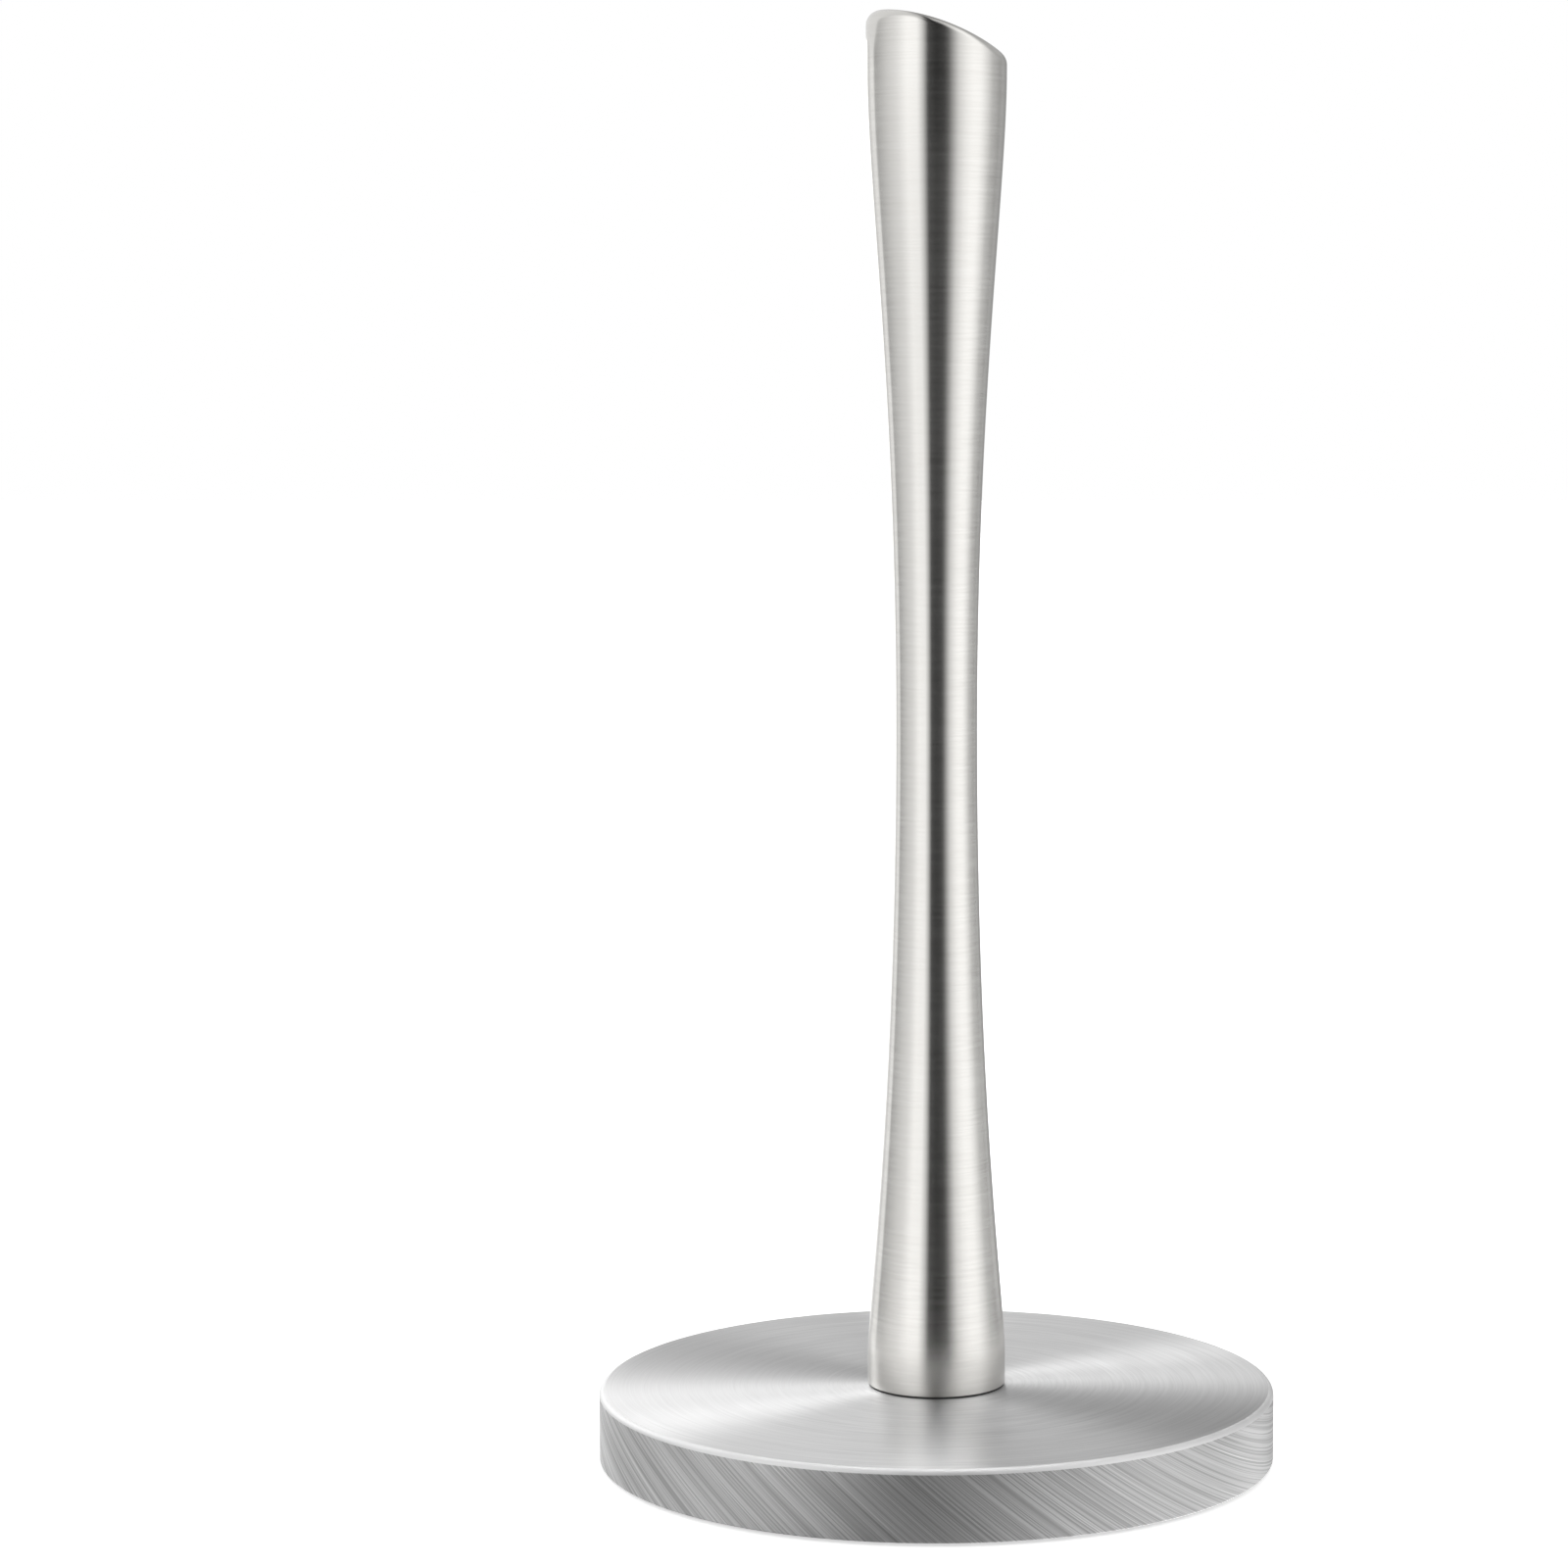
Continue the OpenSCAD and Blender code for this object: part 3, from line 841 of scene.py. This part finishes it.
finish_piece(make_post_shell(), "post", "post_steel", "post_tube", POST_STEEL)
finish_piece(make_post_cap(), "post", "post_steel", "top_cap", POST_STEEL)
finish_piece(make_foot_insert(), "post", "turned_steel", "foot_insert", TURNED_STEEL)
finish_piece(make_foot_ring(), "foot_ring", "black_nylon", "foot_ring", BLACK_NYLON)
finish_piece(make_center_bolt(), "base", "zinc_steel", "center_bolt", ZINC_STEEL)
finish_piece(make_flat_washer(), "base", "zinc_steel", "flat_washer", ZINC_STEEL)
finish_piece(make_spring_washer(), "base", "spring_steel", "spring_washer", SPRING_STEEL)
finish_piece(make_clamp_nut(), "base", "zinc_steel", "clamp_nut", ZINC_STEEL)
paint_cover(finish_piece(make_base_cover(), "base", "base_steel", "base_cover", *COVER_STEELS))
finish_piece(make_pad(), "base", "pad_rubber", "nonslip_pad", PAD_RUBBER)
for screw in make_tray_screws():
    finish_piece(screw, "base", "zinc_steel", "tray_screws", ZINC_STEEL)
for node_name, finish in (("ballast_plate", BALLAST_IRON), ("base_tray", BLACK_ABS)):
    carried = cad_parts[node_name]
    carried.data.materials.clear()
    carried.data.materials.append(finish)

# ---------------------------------------------------------------- studio


def make_floor():
    """A wide pale floor. Only its diffuse light reaches the steel, so reflections stay clean."""
    bpy.ops.mesh.primitive_plane_add(size=12, location=(0, 0, 0))
    floor = bpy.context.object
    floor.name = "studio_floor"
    made, g, shader = material("pale_floor", 0.0, 0.9, Specular_IOR_Level=0.0)
    shade = g.noise(g.place(), 3.0, 2.0)
    g.put(shader.inputs["Base Color"], g.mix(shade, (0.93, 0.93, 0.93), (0.95, 0.95, 0.95)))
    shader.inputs["Emission Color"].default_value = (1, 1, 1, 1)
    shader.inputs["Emission Strength"].default_value = 0.6
    floor.data.materials.append(made)
    floor.visible_glossy = False


# Brightness of the studio by bearing in degrees: 0 is towards the camera, plus is to the right
BANDS = [(-180, 1.0), (-160, 0.95), (-150, 0.58), (-138, 0.84), (-126, 0.82), (-122, 0.38), (-106, 0.54),
         (-88, 0.74), (-70, 0.90), (-50, 1.22), (-32, 1.20), (-23, 0.72), (-14, 0.045), (0, 0.012),
         (13, 0.03), (20, 0.12), (28, 0.42), (38, 0.82), (52, 1.08), (64, 1.18), (78, 1.14), (92, 0.86),
         (106, 0.54), (128, 0.36), (142, 0.42), (156, 0.34), (180, 0.36)]
BAND_SCALE = 1.25
# Lamps of the studio: bearing, height and half width in degrees, and brightness
LAMPS = [(-134, 28, 12, 1.7), (-166, 9, 10, 0.8), (180, 82, 4.5, 17.0), (140, -36, 16, 1.3)]


def make_world():
    """Bands of light round the object, a dark strip overhead, a glow from below, and the lamps."""
    world = bpy.data.worlds.new("studio")
    bpy.context.scene.world = world
    world.use_nodes = True
    tree = world.node_tree
    tree.nodes.clear()
    # Edges are where a change starts and ends, on parts of the unit direction. The levels go with them.
    # The glow from below changes along x + glow_turn * y.
    strip_edge, strip_levels = (0.05, 0.13), (0.03, 0.5)
    sky_edge, under_edge = (0.62, 0.82), (-0.20, -0.42)
    glow_turn, glow_edge, glow_levels = 1.9, (-1.0, 1.0), (0.22, 1.4 / BAND_SCALE)
    # A lamp is full within the smaller share of its half width, and gone at the larger one
    lamp_full, lamp_gone = 0.6, 1.6
    g = Graph(tree)
    direction = g.node("ShaderNodeTexCoord").outputs["Generated"]
    x, y, z = g.separate(direction)[:3]
    bearing = g.math("DIVIDE", g.math("ARCTAN2", x, g.math("MULTIPLY", y, -1)), TURN)
    place = g.math("ADD", bearing, 0.5)
    bands = g.ramp(place, [((d + 180) / 360, level / BAND_SCALE) for d, level in BANDS])
    strip = g.scaled(g.math("ABSOLUTE", x), *strip_edge, *strip_levels)
    sky = g.mix(g.scaled(z, *sky_edge, 0, 1), bands, g.combine(strip, strip, strip))
    under = g.scaled(z, *under_edge, 0, 1)
    glow = g.scaled(g.math("ADD", x, g.math("MULTIPLY", y, glow_turn)), *glow_edge, *glow_levels)
    light = g.mix(under, sky, g.combine(glow, glow, glow))
    lit = g.node("ShaderNodeBackground", light, BAND_SCALE).outputs[0]
    for bearing_of, height, reach, level in LAMPS:
        a, e = math.radians(bearing_of), math.radians(height)
        aim = (math.cos(e) * math.sin(a), -math.cos(e) * math.cos(a), math.sin(e))
        near = g.scaled(g.vector_math("DOT_PRODUCT", direction, aim),
                        math.cos(math.radians(reach * lamp_gone)),
                        math.cos(math.radians(reach * lamp_full)), 0, level)
        lamp = g.node("ShaderNodeBackground", (1, 1, 1, 1), near).outputs[0]
        lit = g.node("ShaderNodeAddShader", lit, lamp).outputs[0]
    seen = g.node("ShaderNodeBackground", (1, 1, 1, 1), 1.0).outputs[0]
    choice = g.node("ShaderNodeMixShader", g.node("ShaderNodeLightPath").outputs["Is Camera Ray"], lit, seen)
    g.node("ShaderNodeOutputWorld", choice.outputs[0])


def make_card():
    """A small card over the back of the post's head, which keeps the lamps off the arched top."""
    reach, rows, columns = 27 * MM, 16, 40
    lowest, highest = 8, 130
    middle = Vector((0, 0, (HIGH_Z + LOW_Z) / 2))
    mesh = bpy.data.meshes.new("card")
    bm = bmesh.new()
    grid = []
    for i in range(rows + 1):
        lean = math.radians(lowest + (highest - lowest) * i / rows)
        line = []
        for j in range(columns + 1):
            across = math.pi * j / columns
            aim = Vector((math.cos(across), math.sin(across) * math.cos(lean),
                          math.sin(across) * math.sin(lean)))
            line.append(bm.verts.new(middle + reach * aim))
        grid.append(line)
    for low, high in zip(grid, grid[1:]):
        for j in range(columns):
            bm.faces.new([low[j], low[j + 1], high[j + 1], high[j]])
    bmesh.ops.remove_doubles(bm, verts=bm.verts, dist=reach / 1000)
    bm.to_mesh(mesh)
    bm.free()
    card = bpy.data.objects.new("card", mesh)
    bpy.context.scene.collection.objects.link(card)
    made = bpy.data.materials.new("card_face")
    made.use_nodes = True
    tree = made.node_tree
    tree.nodes.clear()
    g = Graph(tree)
    x = g.separate(g.place())[0]
    shade = g.ramp(g.scaled(x, -reach, reach, 0, 1),
                   [(0, 0.80), (0.30, 0.74), (0.42, 0.40), (0.56, 0.30), (1, 0.48)])
    weave = g.scaled(g.noise(g.place(), 700, 2.0), 0, 1, 0.97, 1.03)
    glow = g.node("ShaderNodeEmission", shade, weave)
    g.node("ShaderNodeOutputMaterial", glow.outputs[0])
    card.data.materials.append(made)
    card.visible_camera = False
    card.visible_diffuse = False


def make_camera():
    """Eye level and lens of a product shot taken from about a metre away."""
    stand_off = 12.8 * BASE_R
    above_base = 257.5 * MM
    pitch = math.radians(5.93)
    data = bpy.data.cameras.new("camera")
    data.sensor_width = 36
    data.lens = 100.75
    data.shift_x = -0.0972
    data.clip_start = 0.05
    data.clip_end = 50
    camera = bpy.data.objects.new("camera", data)
    camera.location = (0, -stand_off, BASE_TOP + above_base)
    camera.rotation_euler = (math.pi / 2 - pitch, 0, 0)
    bpy.context.scene.collection.objects.link(camera)
    bpy.context.scene.camera = camera


make_floor()
make_world()
make_card()
make_camera()
bpy.context.scene.view_settings.view_transform = "Standard"
